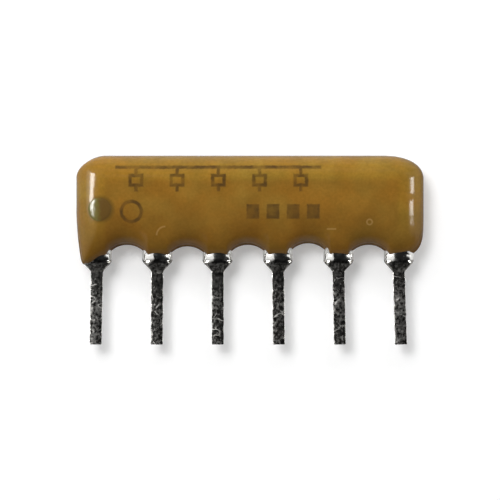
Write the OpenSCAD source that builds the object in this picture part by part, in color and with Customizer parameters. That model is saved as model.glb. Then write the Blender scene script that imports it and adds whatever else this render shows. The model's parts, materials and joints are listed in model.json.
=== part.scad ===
// Single in line resistor network with a dipped coating, lying on its back.
// X runs along the row of pins from pin 1, Y from the pins to the body, and Z up out of the marked face.
// Heights are measured along Y from the seating plane, where the pins meet their solder collars.

/* [Pins] */
// Number of pins in the row
pin_count = 6; // [4:1:12]
// Distance from pin to pin
pitch = 2.54; // [2.3:0.01:3]
// Width of a pin
pin_w = 0.5; // [0.4:0.01:0.6]
// Length of a pin below the seating plane
pin_len = 3.17; // [2.5:0.01:6]
// Thickness of the strip that the leads are stamped from
lead_t = 0.25; // [0.2:0.01:0.3]
// Angle between the first pin and the last, which fan out a little
pin_fan = 2.7; // [0:0.1:5]
// Lean of the row of pins towards the last pin
pin_lean = 0.35; // [-2:0.05:2]

/* [Clips] */
// Width of a clip across its three fingers
clip_w = 0.84; // [0.7:0.01:1]
// Slit between neighbouring fingers
finger_slit = 0.09; // [0.06:0.01:0.14]
// Height of the solid shoulder below the fingers
shoulder_h = 0.72; // [0.6:0.01:0.8]
// Length of the fingers along the faces of the substrate
finger_grip = 0.8; // [0.6:0.01:1]
// Clearance between the bend of the fingers and the edge of the substrate
bend_gap = 0.12; // [0.08:0.01:0.2]

/* [Substrate] */
// Height of the lower edge of the substrate
sub_low = 1.25; // [1.15:0.01:1.6]
// Width of the substrate from its lower edge to its upper edge
sub_h = 3.05; // [2.7:0.01:4]
// Thickness of the substrate
sub_t = 0.635; // [0.5:0.005:0.8]
// Length of the substrate beyond the end pins
sub_over = 0.45; // [0.35:0.01:0.6]

/* [Printed films] */
// Thickness of the conductor film
film_t = 0.02; // [0.01:0.005:0.03]
// Thickness of the resistor film
res_t = 0.02; // [0.01:0.005:0.03]
// Thickness of the glaze over the films
glaze_t = 0.03; // [0.02:0.005:0.05]
// Bare margin between an end pad and the end of the substrate
pad_edge = 0.03; // [0.01:0.01:0.06]
// Width of a resistor
res_w = 1.1; // [0.9:0.01:1.3]
// Width of the common conductor
bus_w = 0.3; // [0.22:0.01:0.4]
// Width of the conductor that rises from pin 1
riser_w = 0.4; // [0.3:0.01:0.5]
// Overlap of a resistor on its conductors
film_lap = 0.18; // [0.1:0.01:0.2]
// Bare margin between the edge of one film and the next
film_edge = 0.1; // [0.06:0.01:0.14]
// Width of the laser trim cut
kerf_w = 0.05; // [0.03:0.005:0.08]
// Depth of the shortest trim cut
kerf_depth = 0.4; // [0.2:0.01:0.5]
// Step in depth from one trim cut to the next
kerf_step = 0.07; // [0:0.01:0.1]
// Length of the leg of a trim cut along the resistor
kerf_leg = 0.35; // [0.1:0.01:0.4]

/* [Solder] */
// Width of a solder collar
collar_w = 1.27; // [1.1:0.01:1.4]
// Height of the widest part of a collar
collar_h = 0.38; // [0.3:0.01:0.5]
// Depth of a collar from front to back, just below the coat
bulb_d = 0.9; // [0.8:0.01:1]
// Height at which a collar reaches that depth
bulb_h = 0.6; // [0.5:0.01:0.7]
// Length that the solder runs down the pin below the seating plane
neck_drop = 0.13; // [0.05:0.01:0.3]
// Solder around the pin at its lower end
neck_t = 0.03; // [0.03:0.005:0.08]
// Solder beside the fingers
solder_side = 0.1; // [0.1:0.01:0.16]
// Solder over the fingers and past their tips
solder_cover = 0.07; // [0.07:0.01:0.12]
// Squareness of a collar at its lower end
neck_power = 8; // [6:0.1:10]
// Squareness of a collar where it is widest
bulb_power = 1.9; // [1.8:0.1:3]
// Squareness of the solder over the fingers
cover_power = 6; // [5:0.1:8]

/* [Coating] */
// Coat beyond the end of the substrate at pin 1
wall_left = 0.42; // [0.35:0.01:0.6]
// Coat beyond the end of the substrate at the last pin
wall_right = 0.6; // [0.5:0.01:0.8]
// Coat above the upper edge of the substrate
wall_top = 0.48; // [0.4:0.01:0.7]
// Coat below the lower edge of the substrate, in the middle of a scallop
wall_low = 0.23; // [0.15:0.01:0.3]
// Sway of the scallops in height along the row
scallop_sway = 0.065; // [0:0.005:0.1]
// Coat over each face of the substrate
wall_face = 0.78; // [0.65:0.01:1]
// Width of the rounding along the upper edge
rim_top = 1; // [0.8:0.01:1.2]
// Width of the rounding at the end of pin 1
rim_left = 1.2; // [1:0.01:1.4]
// Width of the rounding at the end of the last pin
rim_right = 1.7; // [1.2:0.01:1.9]
// Width of the slope between the lower edge of the substrate and the flat face
brow = 1.17; // [0.9:0.01:1.4]
// Width of the lobe of coat between two scallops
lobe_w = 0.52; // [0.3:0.01:0.8]
// Height of the lower end of a lobe
lobe_h = 0.5; // [0.4:0.01:0.6]
// Length that the coat ran down past the lobe at pin 1
run_left = 0.32; // [0:0.01:0.4]
// Distance from pin 1 towards the row at which the run starts
run_start = 0.5; // [0:0.01:0.7]
// Length over which the run grows
run_length = 1.1; // [0.8:0.01:1.6]
// How much fuller than an ellipse the edge is where the coat ran
run_full = 0.8; // [0:0.1:3]
// Share of the way down to the edge at which it gets fuller
full_from = 0.6; // [0.4:0.01:0.8]
// Narrowing of the coat towards its lower corner at pin 1
taper_left = 0.26; // [0:0.01:0.3]
// How late that narrowing grows on the way down
taper_power = 1.7; // [1:0.1:2]
// Share of the rounding that is flat on the back
back_flat = 0.45; // [0:0.01:0.6]
// Squareness of the upper corner at pin 1
top_left_power = 1.8; // [1.6:0.1:3]
// Squareness of the upper corner at the last pin
top_right_power = 2.2; // [1.6:0.1:3]
// Squareness of the lower corner at pin 1, at the outline
low_left_power = 20; // [10:0.1:24]
// Squareness of that corner further in
soft_power = 3; // [2:0.1:4]
// How close to the outline that corner sharpens
sharpen_power = 4; // [2:0.1:6]
// Squareness of the lower corner at the last pin
low_right_power = 4; // [3:0.1:6]

/* [Mark] */
// Diameter of the dot at pin 1
dot_d = 0.96; // [0.6:0.01:1.2]
// Thickness of the dot
dot_t = 0.03; // [0.02:0.005:0.06]
// Distance of the dot from pin 1 along the row
dot_x = 0.15; // [0:0.01:0.4]
// Height of the dot above the lower edge of the substrate
dot_up = 1.25; // [0.9:0.01:1.6]

/* [Hidden] */

// The whole body
coat_l = (pin_count - 1) * pitch + 2 * sub_over + wall_left + wall_right;
coat_h = sub_low + sub_h + wall_top;
coat_t = sub_t + 2 * wall_face;
mid_z = coat_t / 2;
seat_y = (pin_len - coat_h) / 2;
first_x = wall_left + sub_over - coat_l / 2;
last_x = first_x + (pin_count - 1) * pitch;
front_z = mid_z + sub_t / 2;

// Heights along a lead and its circuit
bend_h = sub_low - bend_gap;
tip_h = sub_low + finger_grip;
solder_top = tip_h + solder_cover;
glaze_low = solder_top + film_edge;
res_low = glaze_low + film_edge;
pad_top = res_low + film_lap;
glaze_top = sub_low + sub_h - film_edge;
bus_top = glaze_top - film_edge;
bus_low = bus_top - bus_w;

// The end pads reach almost to the ends of the substrate, and the last resistor stays under the glaze
pad_w = 2 * (sub_over - pad_edge);
res_right = sub_over - 2 * film_edge;

// The flat part of the marked face
flat_left = rim_left - coat_l / 2;
flat_right = coat_l / 2 - rim_right;
flat_low = sub_low + brow;
flat_top = coat_h - rim_top;

// The scallops
scallop_r = (pitch - lobe_w) / 2;
scallop_top = sub_low - wall_low;

// Facets of the coat and of a solder collar
end_cols = 8;
mid_cols = 9 * (pin_count - 1) + 11;
rim_rows = 6;
ring_sides = 20;
swell_rings = 8;
waist_rings = 4;

function pin_x(i) = first_x + (i - 1) * pitch;

// The lean of pin i, spread evenly over the row
function lean(i) = pin_lean + pin_fan * ((i - 1) / (pin_count - 1) - 0.5);

// A smooth step from 0 to 1
function ease(t) = let (c = min(1, max(0, t))) c * c * (3 - 2 * c);

// Distance along the row from the middle of the nearest scallop
function from_scallop(x) =
    x <= first_x || x >= last_x
        ? pitch / 2
        : abs(x - first_x - pitch * floor((x - first_x) / pitch) - pitch / 2);

// How far the run at pin 1 has grown at a place along the row
function run_share(x) = ease((first_x + run_start - x) / run_length);

// Height of the lower edge of the coat: round scallops between lobes, lower where it ran at pin 1. The
// scallops sway in height from gap to gap as a sine.
function edge_low(x) =
    let (d = min(from_scallop(x), scallop_r),
         sway = scallop_sway * sin(90 * floor((x - first_x) / pitch)),
         arc = scallop_top - sway - scallop_r + sqrt(scallop_r * scallop_r - d * d))
    max(lobe_h, arc) - run_left * run_share(x);

// How far the end at pin 1 draws in at a height
function taper(height) = taper_left * pow(min(1, max(0, (flat_low - height) / flat_low)), taper_power);

// Columns of the coat from end to end, as [side, share of the rounding, place along the row]
coat_cols = concat(
    [for (k = [0 : end_cols - 1]) let (q = cos(90 * k / end_cols)) [-1, q, flat_left - q * rim_left]],
    [for (k = [0 : mid_cols]) [0, 0, flat_left + (flat_right - flat_left) * k / mid_cols]],
    [for (k = [1 : end_cols]) let (q = sin(90 * k / end_cols)) [1, q, flat_right + q * rim_right]]);

// Rows of the coat from its lower edge to its upper edge, as [side, share of the rounding]
coat_rows = concat(
    [for (k = [0 : rim_rows]) [-1, cos(90 * k / rim_rows)]],
    [for (k = [0 : rim_rows]) [1, sin(90 * k / rim_rows)]]);

last_col = len(coat_cols) - 1;
last_row = len(coat_rows) - 1;

// The lower corner at pin 1 is sharp at the outline and softens further in
function corner_power(col, row) =
    col[0] < 0
        ? (row[0] < 0 ? soft_power + (low_left_power - soft_power) * pow(row[1], sharpen_power)
                      : top_left_power)
        : (row[0] < 0 ? low_right_power : top_right_power);

// The power of the ellipse that the thickness follows, which is above two where the coat ran
function fullness(col, row) =
    2 + (row[0] < 0 ? run_full * run_share(col[2]) * ease((row[1] - full_from) / (1 - full_from)) : 0);

// A point of the coat. Both roundings join as a superellipse, and the share of the way to the outline
// sets the half thickness along an ellipse.
function coat_point(col, row, front) =
    let (n = corner_power(col, row),
         qx = col[1],
         qy = row[1] * pow(max(0, 1 - pow(qx, n)), 1 / n),
         share = min(1, pow(pow(qx, n) + pow(qy, n), 1 / n)),
         height = row[0] < 0
             ? flat_low - qy * (flat_low - edge_low(col[2]))
             : flat_top + qy * rim_top,
         x = col[2] + (col[0] < 0 ? qx * taper(height) : 0),
         back_share = max(0, (share - back_flat) / (1 - back_flat)))
    [x, seat_y + height, front ? mid_z + mid_z * sqrt(1 - pow(share, fullness(col, row)))
                               : mid_z - mid_z * sqrt(1 - back_share * back_share)];

// The front and the back share the points of the outline, and each end closes on its straight edge
function coat_index(front, c, r) =
    let (end = c == 0 || c == last_col,
         row = end ? min(rim_rows + 1, max(rim_rows, r)) : r,
         rim = end || r == 0 || r == last_row)
    (front || rim ? 0 : len(coat_cols) * len(coat_rows)) + c * len(coat_rows) + row;

module coat_skin() {
    points = [for (front = [true, false]) for (col = coat_cols) for (row = coat_rows)
        coat_point(col, row, front)];
    cells = [for (front = [true, false]) for (c = [0 : last_col - 1]) for (r = [0 : last_row - 1])
        let (a = coat_index(front, c, r),
             b = coat_index(front, c + 1, r),
             d = coat_index(front, c + 1, r + 1),
             e = coat_index(front, c, r + 1))
        each front ? [[a, e, d], [a, d, b]] : [[a, d, e], [a, b, d]]];
    polyhedron(points, [for (f = cells) if (f[0] != f[1] && f[1] != f[2] && f[2] != f[0]) f]);
}

// The collar swells from its neck, draws in under the coat and then follows the fingers to their tips
neck_w = pin_w / 2 + neck_t;
neck_d = lead_t / 2 + neck_t;
cover_w = clip_w / 2 + solder_side;
cover_d = sub_t / 2 + film_t + lead_t + solder_cover;

// A ring of a solder collar, as [height, half width, half depth, squareness]. Each swells from the neck in a
// smooth step of its own, and takes another one to the fingers.
function collar_ring(h) =
    let (widen = ease((h + neck_drop) / (collar_h + neck_drop)),
         deepen = ease((h + neck_drop) / (bulb_h + neck_drop)),
         soften = ease(h / collar_h),
         to_cover = ease((h - bulb_h) / (bend_h - bulb_h)))
    [h, neck_w + (collar_w / 2 - neck_w) * widen + (cover_w - collar_w / 2) * to_cover,
     neck_d + (bulb_d / 2 - neck_d) * deepen + (cover_d - bulb_d / 2) * to_cover,
     neck_power + (bulb_power - neck_power) * soften + (cover_power - bulb_power) * to_cover];

collar_rings = concat(
    [for (k = [0 : swell_rings]) collar_ring((bulb_h + neck_drop) * k / swell_rings - neck_drop)],
    [for (k = [1 : waist_rings]) collar_ring(bulb_h + (bend_h - bulb_h) * k / waist_rings)],
    [collar_ring(sub_low), collar_ring(tip_h),
     [tip_h + solder_cover / 2, cover_w - solder_side / 4, cover_d - solder_cover / 4, cover_power],
     [solder_top, cover_w - solder_side, cover_d - solder_cover, cover_power]]);

function power(v, p) = sign(v) * pow(abs(v), p);

module solder_blob(i) {
    count = len(collar_rings);
    points = [for (g = collar_rings) for (k = [0 : ring_sides - 1])
        let (a = 360 * k / ring_sides)
        [g[1] * power(cos(a), 2 / g[3]), g[0], g[2] * power(sin(a), 2 / g[3])]];
    walls = [for (g = [0 : count - 2]) for (k = [0 : ring_sides - 1])
        let (a = g * ring_sides + k,
             b = g * ring_sides + (k + 1) % ring_sides,
             c = a + ring_sides,
             d = b + ring_sides)
        each [[a, b, d], [a, d, c]]];
    bottom = [for (k = [ring_sides - 1 : -1 : 0]) k];
    top = [for (k = [0 : ring_sides - 1]) (count - 1) * ring_sides + k];
    translate([pin_x(i), seat_y, mid_z]) polyhedron(points, concat(walls, [bottom, top]));
}

// A rectangle of film on the front of the substrate, from one height to another
module film(x, low, top, width, thickness) {
    translate([x - width / 2, seat_y + low, front_z]) cube([width, top - low, thickness]);
}

// The pad under a clip
module solder_pad(i) {
    film(pin_x(i), sub_low, glaze_low, pad_w, film_t);
}

// The pad of a resistor widens under the glaze to the width of the resistor
module pad_film(i) {
    solder_pad(i);
    film(pin_x(i) + res_right - res_w / 2, glaze_low, pad_top, res_w, film_t);
}

module bus_film() {
    bus_left = first_x - riser_w / 2;
    bus_right = last_x + res_right;
    solder_pad(1);
    film(first_x, glaze_low, bus_top, riser_w, film_t);
    film((bus_left + bus_right) / 2, bus_low, bus_top, bus_right - bus_left, film_t);
}

// A resistor steps down from its pad to the substrate and up onto the common conductor. The trim cut
// enters at its side and turns along it.
module resistor_film(i) {
    depth = kerf_depth + kerf_step * ((2 * i) % 3);
    kerf_y = seat_y + (pad_top + bus_low - kerf_leg) / 2;
    kerf_h = 2 * (film_t + res_t);
    top_z = film_t + res_t;
    profile = [
        [res_low, film_t], [pad_top, film_t], [pad_top, 0],
        [bus_low, 0], [bus_low, film_t], [bus_low + film_lap, film_t],
        [bus_low + film_lap, top_z], [bus_low - res_t, top_z], [bus_low - res_t, res_t],
        [pad_top + res_t, res_t], [pad_top + res_t, top_z], [res_low, top_z]];
    right = pin_x(i + 1) + res_right;
    difference() {
        translate([right - res_w, seat_y, front_z])
            rotate([90, 0, 90]) linear_extrude(res_w) polygon(profile);
        translate([right - depth, kerf_y, front_z - film_t]) cube([depth + kerf_w, kerf_w, kerf_h]);
        translate([right - depth, kerf_y, front_z - film_t]) cube([kerf_w, kerf_leg, kerf_h]);
    }
}

module glaze_block() {
    film((first_x + last_x) / 2, glaze_low, glaze_top,
        last_x - first_x + 2 * sub_over - 2 * film_edge, film_t + res_t + glaze_t);
}

module substrate_block() {
    translate([first_x - sub_over, seat_y + sub_low, mid_z - sub_t / 2])
        cube([last_x - first_x + 2 * sub_over, sub_h, sub_t]);
}

// A point of a pin, from its place across the pin and along it from the seating plane
function pin_point(i, across, along) =
    [across * cos(lean(i)) + along * sin(lean(i)), across * sin(lean(i)) - along * cos(lean(i))];

// The side view of a finger. It leaves the plane of the strip at the shoulder, slants out and lies flat
// on its seat, with the bends mitred so that the strip keeps its thickness.
function finger_profile(seat) =
    let (half = lead_t / 2,
         miter = half * tan(atan2(seat + half, bend_h - shoulder_h) / 2))
    [[shoulder_h / 2, half], [shoulder_h - miter, half], [bend_h - miter, seat + lead_t],
     [tip_h, seat + lead_t], [tip_h, seat], [bend_h + miter, seat],
     [shoulder_h + miter, -half], [shoulder_h / 2, -half]];

module finger(place, seat) {
    finger_w = (clip_w - 2 * finger_slit) / 3;
    translate([place * (finger_w + finger_slit) - finger_w / 2, 0, 0])
        rotate([90, 0, 90]) linear_extrude(finger_w) polygon(finger_profile(seat));
}

module lead_strip(i) {
    slope_h = (clip_w - pin_w) / 2;
    outline = [
        [clip_w / 2, shoulder_h], [-clip_w / 2, shoulder_h], [-clip_w / 2, slope_h],
        pin_point(i, -pin_w / 2, 0), pin_point(i, -pin_w / 2, pin_len),
        pin_point(i, pin_w / 2, pin_len), pin_point(i, pin_w / 2, 0), [clip_w / 2, slope_h]];
    translate([pin_x(i), seat_y, mid_z]) {
        translate([0, 0, -lead_t / 2]) linear_extrude(lead_t) polygon(outline);
        for (place = [-1, 1]) finger(place, sub_t / 2 + film_t);
        mirror([0, 0, 1]) finger(0, sub_t / 2);
    }
}

module coating() {
    color("#86642a") difference() {
        coat_skin();
        substrate_block();
        glaze_block();
        for (i = [1 : pin_count]) solder_pad(i);
        for (i = [1 : pin_count]) solder_blob(i);
    }
}

module substrate() {
    color("#efeee6") substrate_block();
}

module common_conductor() {
    color("#b9b7b0") bus_film();
}

module pad(i) {
    color("#b9b7b0") pad_film(i);
}

module resistor(i) {
    color("#23211f") resistor_film(i);
}

module glaze() {
    color("#3f6b58") difference() {
        glaze_block();
        bus_film();
        for (i = [2 : pin_count]) pad_film(i);
        for (i = [1 : pin_count - 1]) resistor_film(i);
    }
}

module lead(i) {
    color("#6e6c68") lead_strip(i);
}

module solder(i) {
    color("#c9c9c9") difference() {
        solder_blob(i);
        substrate_block();
        solder_pad(i);
        lead_strip(i);
    }
}

// The dot is a round patch of ink that follows the face of the coat
module pin_one_dot() {
    color("#5c6344") difference() {
        intersection() {
            translate([first_x + dot_x, seat_y + sub_low + dot_up, mid_z])
                cylinder(d = dot_d, h = coat_t, $fn = 64);
            translate([0, 0, dot_t]) coat_skin();
        }
        coat_skin();
    }
}

coating();
substrate();
common_conductor();
glaze();
pin_one_dot();
for (i = [2 : pin_count]) pad(i);
for (i = [1 : pin_count - 1]) resistor(i);
for (i = [1 : pin_count]) lead(i);
for (i = [1 : pin_count]) solder(i);
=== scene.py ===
import json
import math

import bpy
import numpy as np
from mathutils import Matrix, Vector


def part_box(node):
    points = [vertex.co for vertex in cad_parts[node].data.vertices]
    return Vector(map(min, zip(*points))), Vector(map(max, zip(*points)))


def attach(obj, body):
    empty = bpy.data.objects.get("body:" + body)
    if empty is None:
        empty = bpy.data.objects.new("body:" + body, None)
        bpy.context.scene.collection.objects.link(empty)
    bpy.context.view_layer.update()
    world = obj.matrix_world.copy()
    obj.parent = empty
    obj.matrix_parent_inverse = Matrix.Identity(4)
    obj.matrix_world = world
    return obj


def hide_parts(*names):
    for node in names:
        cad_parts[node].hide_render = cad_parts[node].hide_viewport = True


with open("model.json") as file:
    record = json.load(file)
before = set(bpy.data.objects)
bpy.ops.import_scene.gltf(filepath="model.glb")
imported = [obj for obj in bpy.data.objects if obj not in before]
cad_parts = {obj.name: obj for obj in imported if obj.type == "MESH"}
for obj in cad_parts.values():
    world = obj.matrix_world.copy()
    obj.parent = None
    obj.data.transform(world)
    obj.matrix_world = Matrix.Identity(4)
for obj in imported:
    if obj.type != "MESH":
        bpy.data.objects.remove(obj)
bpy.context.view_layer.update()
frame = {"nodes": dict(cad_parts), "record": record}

# All shapes below are worked out in millimetres and turned to metres when they become meshes.
MM = 0.001

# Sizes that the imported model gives: the coat's box, the plate's box and the row of pins
coat_low, coat_high = (np.array(corner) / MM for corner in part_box("coating"))
plate_low, plate_high = (np.array(corner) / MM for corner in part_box("substrate"))
pin_row = next(m for m in frame["record"]["mounts"] if m["name"] == "pin_row")
PIN_COUNT = pin_row["dims"]["count"]
PITCH = pin_row["dims"]["spacing_x_mm"]
PIN_LEN = pin_row["dims"]["length_mm"]
ROW_X, SEAT_Y, MID_Z = (value / MM for value in pin_row["pos_m"])
FIRST_X = ROW_X - PITCH * (PIN_COUNT - 1) / 2
LAST_X = ROW_X + PITCH * (PIN_COUNT - 1) / 2
PLATE_LOW = plate_low[1] - SEAT_Y
PLATE_T = plate_high[2] - plate_low[2]

# The coat's outline and roundings, as in the part's source, with heights from the pins' seating plane
RIM_TOP = 1.0
RIM_LEFT = 1.2
RIM_RIGHT = 1.7
BROW = 1.17
LOBE_W = 0.52
LOBE_H = 0.5
WALL_LOW = 0.23
SCALLOP_SWAY = 0.065
RUN_LEFT = 0.32
RUN_START = 0.5
RUN_LENGTH = 1.1
RUN_FULL = 0.8
FULL_FROM = 0.6
TAPER_LEFT = 0.26
TAPER_POWER = 1.7
FLOW_REACH = 0.5
FLOW_STEPS = 25
BACK_FLAT = 0.45
CORNER_POWERS = {(-1, -1): 20.0, (-1, 1): 1.8, (1, -1): 4.0, (1, 1): 2.2}
SOFT_POWER = 3.0
SOFT_TOP_POWER = 3.0
FLAT_LEFT = coat_low[0] + RIM_LEFT
FLAT_RIGHT = coat_high[0] - RIM_RIGHT
FLAT_LOW = PLATE_LOW + BROW
FLAT_TOP = coat_high[1] - SEAT_Y - RIM_TOP
SCALLOP_R = (PITCH - LOBE_W) / 2
SCALLOP_TOP = PLATE_LOW - WALL_LOW

# Slow unevenness that breaks the highlights at the coat's ends, as shares of the half thickness and heights
LEDGE = 0.05
LEDGE_LOW = 2.8
LEDGE_LENGTH = 0.46
FOOT_SHARE = 0.25
FOOT_TOP = 2.4
FOOT_END = 0.9
SAG = 0.035
SAG_MIDDLE = 2.75
SAG_LENGTH = 1.3
END_STEEPNESS = 1.6

# The leads and their solder, as in the part's source
PIN_W = 0.5
LEAD_T = 0.25
PIN_FAN = 2.7
PIN_LEAN = 0.35
CLIP_W = 0.84
FINGER_SLIT = 0.09
FINGERS = 3
SHOULDER_H = 0.72
FINGER_GRIP = 0.8
BEND_GAP = 0.12
FILM_T = 0.02
COLLAR_W = 1.27
COLLAR_H = 0.38
NECK_DROP = 0.13
NECK_T = 0.03
SOLDER_SIDE = 0.1
SOLDER_COVER = 0.07
BULB_D = 0.9
BULB_H = 0.6
NECK_POWER = 8.0
BULB_POWER = 1.9
COVER_POWER = 6.0
BEND_H = PLATE_LOW - BEND_GAP
TIP_H = PLATE_LOW + FINGER_GRIP

# Small irregularities of the leads and the solder: lengths in millimetres, rates in radians a millimetre,
# turns in radians from one pin to the next, and the rest as shares
EDGE_ROUND = 0.01
TIP_ROUND = 0.03
TIP_ALONG = np.array([0, 0.3, 1])
TIP_INWARD = np.array([0.6, 0.2, 0])
PIN_WAVER = 0.006
WAVER_RATE = 9.3
WAVER_TURN = 3.1
WAVER_END = 0.1
FINGER_ROOT = 0.6
FINGER_ROUND = 0.02
FEATHER = 0.9
LUMP_TURN = 2.4
LUMP_RATE = 5.0
DOUBLE_LUMP = 0.012
TRIPLE_LUMP = 0.008

# The ink dot at pin 1, and the waves of its rim: how many, their share of the radius, and their turn
DOT_D = 0.96
DOT_T = 0.03
DOT_SINK = DOT_T / 2
DOT_POWER = 5
DOT_X = FIRST_X + 0.15
DOT_Y = SEAT_Y + PLATE_LOW + 1.25
DOT_WAVES = [(3, 0.02, 0.6), (7, 0.012, 0.0)]

# The printed drawing: places on the marked face, and half sizes of its rows and shapes
STROKE = 0.13
SYMBOLS = 5
CIRCUIT_AT = (-1.32, 2.9)
CIRCUIT_HALF = (4.3, 0.66)
BUS_Y = 3.46
STEM_Y = 3.29
STEM_HALF = 0.17
SYMBOL_Y = 2.91
SYMBOL_HALF = (0.24, 0.2)
TAIL_Y = 2.57
TAIL_HALF = 0.12
RING_AT = (-4.95, 1.61)
RING_R = 0.42
BLOCKS = 4
BLOCKS_AT = (1.38, 1.61)
BLOCKS_HALF = (1.68, 0.5)
BLOCK_HALF = (0.26, 0.3)
INK_WOBBLE = 0.03
INK_BLUR = (-0.03, 0.04)

# Handling marks on the face: a scrape, which is part of a circle, a pinprick and a dash
SCUFF_LINE = 0.02
SCUFF_BLUR = 0.045
SCRAPE_AT = (-3.54, 0.62)
SCRAPE_R = 0.36
SCRAPE_PART = ((-3.8, 0.88), (0.24, 0.24))
PRICK_AT = (4.99, 1.17)
PRICK_R = 0.11
DASH_AT = (3.4, 0.88)
DASH_HALF = 0.17

# Where the coat changes its look. A box is a centre and a half size, and a pair is where a change is full and
# where it is gone.
PLATE_SHOWN = ((0.07, -0.54), (6.12, 3.46))
PLATE_BLUR = (0.14, -0.12)
LAST_LOBE = ((6.6, -0.6), (1.4, 1.9))
LAST_LOBE_BLUR = (0.3, -0.7)
# Painted light: how much lighter and yellower the rim around the plate is painted, in red, green and blue
PAINTED_RIM_LIGHT = (1.12, 1.2, 1.1, 1)
# Painted shade: how dark the coat is painted at the pins and between them, up to where it fades out, and how
# much more along the lower edge and around the corner at pin 1
SHADE_AT_PINS = 0.17
SHADE_BETWEEN = 0.34
SHADE_RISE = (1.3, 2.4)
LOW_SHADE = 0.25
LOW_RISE = (-0.3, 0.9)
CORNER_SHADE = 0.25
CORNER_AT = (FIRST_X + 0.35, 0.2)
CORNER_REACH = (0.35, 1.25)
EDGE_DEPTH = (0.1, 0.6)
MATT_RISE = (0.3, 1.0)
HALO_SHIFT = 0.07
HALO_BLUR = (-0.06, 0.17)

# Where the solder's foot is painted dark, as painted shade for the dark surroundings that it mirrors, and
# where it is matt, as heights above the seating plane
DARK_FOOT = (0.43, 0.58)
MATT_FOOT = (0.32, 0.47)

# The pins' wear: where along the row it is least, how much more it is that far from there, and how far below
# the seating plane it begins to lessen
WEAR_LEAST_X = -0.8
WEAR_MORE = 0.09
WEAR_AWAY = 6.5
WEAR_DROP = 1.3

# The studio: bearings are degrees from +X towards +Y, and levels are radiance, with 1 as white
PHOTO_WIDTH = 500
PIXELS_PER_MM = 23.75
FRAME_WIDTH = PHOTO_WIDTH / PIXELS_PER_MM
SENSOR_WIDTH = 36.0
CAMERA_REACH = 120.0
CLIP_NEAR = 1.0
CLIP_FAR = 10000.0
FLOOR_WIDTH = 800.0
FLOOR_GAP = 0.01
FLOOR_LIFT = 0.31
LAMP_REACH = 150.0
CEILING_LEVEL = 0.02
HORIZON_LEVEL = 0.9
HORIZON_RISE = (0.06, 0.18)
# The broad light beyond the top edge: its direction, its level, and the cosines and the rises where it is
# full and where it is gone
GLOW_TOWARDS = (0, 0.819, 0.574)
GLOW_LEVEL = 0.5
GLOW_SPREAD = (0.95, 0.3)
GLOW_RISE = (0.55, 0.8)
# Each softbox: name, bearing, rise, width and height as angles, level, and whether it is only seen in gloss
SOFTBOXES = [("main_softbox", 130, 66, 20, 20, 15.6, False),
             ("far_softbox", 95, 44, 60, 20, 3.7, False),
             ("left_fill", 180, 16, 100, 40, 1.0, False),
             ("right_fill", 0, 14, 90, 34, 1.3, False),
             ("left_strip", 170, 38.5, 21, 14, 60.0, True),
             ("left_haze", 166, 25, 29, 14, 6.0, True),
             ("right_strip", 3.7, 25, 9, 11, 40.0, True),
             ("left_panel", 183, 30, 97, 64, 1.1, True),
             ("right_panel", 8, 15, 46, 42, 1.1, True)]


def linear(code):
    """An sRGB hex colour as the linear colour that the shaders take, with an alpha of one."""
    parts = [int(code[i:i + 2], 16) / 255 for i in (1, 3, 5)]
    return [p / 12.92 if p <= 0.04045 else ((p + 0.055) / 1.055) ** 2.4 for p in parts] + [1.0]


def add(tree, kind, inputs=None, **settings):
    """Adds a shader node of a kind with its settings, and links or sets its inputs."""
    made = tree.nodes.new("ShaderNode" + kind)
    for name, value in settings.items():
        setattr(made, name, value)
    for socket, value in (inputs or {}).items():
        if isinstance(value, bpy.types.NodeSocket):
            tree.links.new(value, made.inputs[socket])
        else:
            made.inputs[socket].default_value = value
    return made


def ease(t):
    """A smooth step from 0 to 1: three t squared less two t cubed, held at both ends."""
    held = np.clip(t, 0, 1)
    return held * held * (3 - 2 * held)


def signed_power(value, power):
    """A power of the size of a value, which keeps the value's sign."""
    return np.sign(value) * np.abs(value) ** power


def cells(index):
    """The corners of the cells in a grid of point numbers, four to a cell. A cell that folds to a triangle
    repeats a corner, and one that folds flat is left out."""
    corners = np.stack([index[:-1, :-1], index[1:, :-1], index[1:, 1:], index[:-1, 1:]], axis=-1)
    corners = corners.reshape(-1, 4)
    repeats = (corners == np.roll(corners, -1, axis=1)).sum(axis=1)
    return corners[repeats < 2]


def faces_of(corners):
    """The cells as lists of faces: those with four corners, then the folded ones with three."""
    same = corners == np.roll(corners, -1, axis=1)
    folded = same.any(axis=1)
    triangles = corners[folded][~same[folded]].reshape(-1, 3)
    return corners[~folded].tolist() + triangles.tolist()


def new_piece(name, points, corners, slot, node, material):
    """Makes a mesh from points in millimetres and the corners of its cells, smooth all over, that rides on
    the body in place of a solid."""
    mesh = bpy.data.meshes.new(name)
    mesh.from_pydata((points * MM).tolist(), [], faces_of(corners))
    mesh.polygons.foreach_set("use_smooth", np.ones(len(mesh.polygons), dtype=bool))
    mesh.materials.append(material)
    mesh.update()
    piece = bpy.data.objects.new(name, mesh)
    bpy.context.scene.collection.objects.link(piece)
    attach(piece, "root")
    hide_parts(node)


def run_share(x):
    """How far the run at pin 1 has grown at a place along the row, as a smooth step."""
    return ease((FIRST_X + RUN_START - x) / RUN_LENGTH)


def lower_edge(x):
    """Height of the coat's lower edge above the seating plane: round scallops between the pins, lobes at the
    pins, and a run that hangs lower at pin 1."""
    inside = (x > FIRST_X) & (x < LAST_X)
    from_gap = np.where(inside, np.abs((x - FIRST_X) % PITCH - PITCH / 2), PITCH / 2)
    from_middle = np.minimum(from_gap, SCALLOP_R)
    sway = SCALLOP_SWAY * np.sin(math.pi / 2 * np.floor((x - FIRST_X) / PITCH))
    arc = SCALLOP_TOP - sway - SCALLOP_R + np.sqrt(SCALLOP_R ** 2 - from_middle ** 2)
    return np.maximum(LOBE_H, arc) - RUN_LEFT * run_share(x)


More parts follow.
